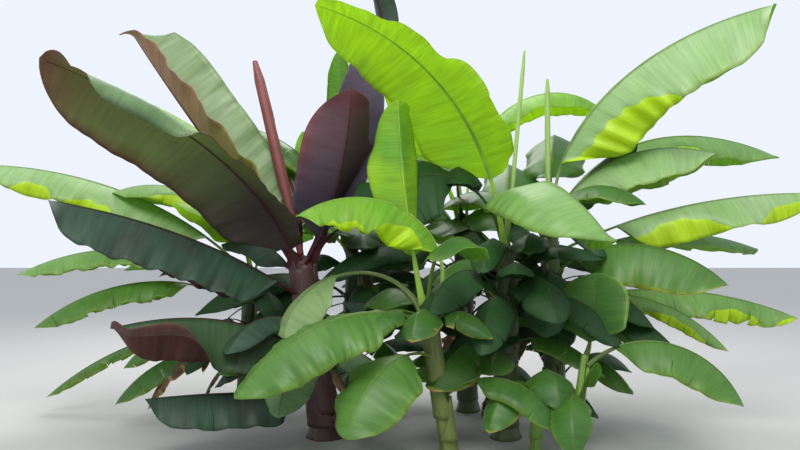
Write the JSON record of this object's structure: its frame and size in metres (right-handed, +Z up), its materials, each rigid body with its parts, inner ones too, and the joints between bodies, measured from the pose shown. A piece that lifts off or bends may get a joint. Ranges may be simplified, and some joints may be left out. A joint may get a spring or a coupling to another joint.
{
  "type": "banana plant clump",
  "caption": "Clump of banana plants rising from one root: sheathed false stems, each with a fan of long stalked fronds, some red-leaved, for planting in a garden scene.",
  "frame": {"origin": "middle of the flat cut under the main stem, at ground level", "axes": "+Z up along the main stem; +X to the right and +Y away from the viewer of the picture, the clump being longest along X"},
  "size_m": [6.9365, 3.9802, 3.7323],
  "materials": {
    "green_frond": "satin leaf, mid to lime green with a pale rib, bluer green above and yellower where light comes through",
    "red_frond": "satin leaf, dark olive green above and maroon brown beneath, with a pinkish margin",
    "young_frond": "satin rolled young leaf, pale yellow-green",
    "green_stem": "waxy clasping leaf sheaths, yellow-green with brown dry edges and streaks",
    "red_stem": "waxy clasping leaf sheaths, maroon brown"
  },
  "bodies": {
    "root": {"arch_back_frond": "green_frond", "back_back_fronds": "green_frond", "back_left_fronds": "green_frond", "back_low_fronds": "green_frond", "back_stem": "green_stem", "back_up_frond": "green_frond", "fan_far_frond": "green_frond", "fan_front_fronds": "green_frond", "fan_long_frond": "green_frond", "fan_low_back_frond": "green_frond", "fan_low_fronds": "green_frond", "fan_top_frond": "green_frond", "fan_up_frond": "green_frond", "front_down_frond": "green_frond", "front_inner_fronds": "green_frond", "front_left_fronds": "green_frond", "front_low_fronds": "green_frond", "front_over_frond": "green_frond", "front_right_frond": "green_frond", "front_stem": "green_stem", "front_up_frond": "green_frond", "left_back_fronds": "green_frond", "left_bottom_fronds": "green_frond", "left_far_frond": "green_frond", "left_low_fronds": "green_frond", "left_one_frond": "green_frond", "left_stem": "green_stem", "left_top_fronds": "green_frond", "left_two_frond": "green_frond", "low_left_frond": "green_frond", "low_stem": "green_stem", "main_back_fronds": "green_frond", "main_low_fronds": "green_frond", "main_spear": "young_frond", "main_stem": "green_stem", "pup_low_fronds": "green_frond", "pup_stem": "green_stem", "pup_top_fronds": "green_frond", "rear_back_fronds": "green_frond", "rear_front_fronds": "green_frond", "rear_left_fronds": "green_frond", "rear_stem": "green_stem", "rear_tall_fronds": "green_frond", "red_back_fronds": "red_frond", "red_dark_frond": "red_frond", "red_face_frond": "red_frond", "red_high_frond": "red_frond", "red_low_frond": "red_frond", "red_low_fronds": "red_frond", "red_point_frond": "red_frond", "red_sail_frond": "red_frond", "red_spear": "red_frond", "red_stem": "red_stem", "red_top_frond": "red_frond", "right_back_fronds": "green_frond", "right_spear": "young_frond", "right_stem": "green_stem", "roof_fronds": "green_frond", "sail_frond": "green_frond", "sucker_fronds": "green_frond"}
  },
  "joints": []
}
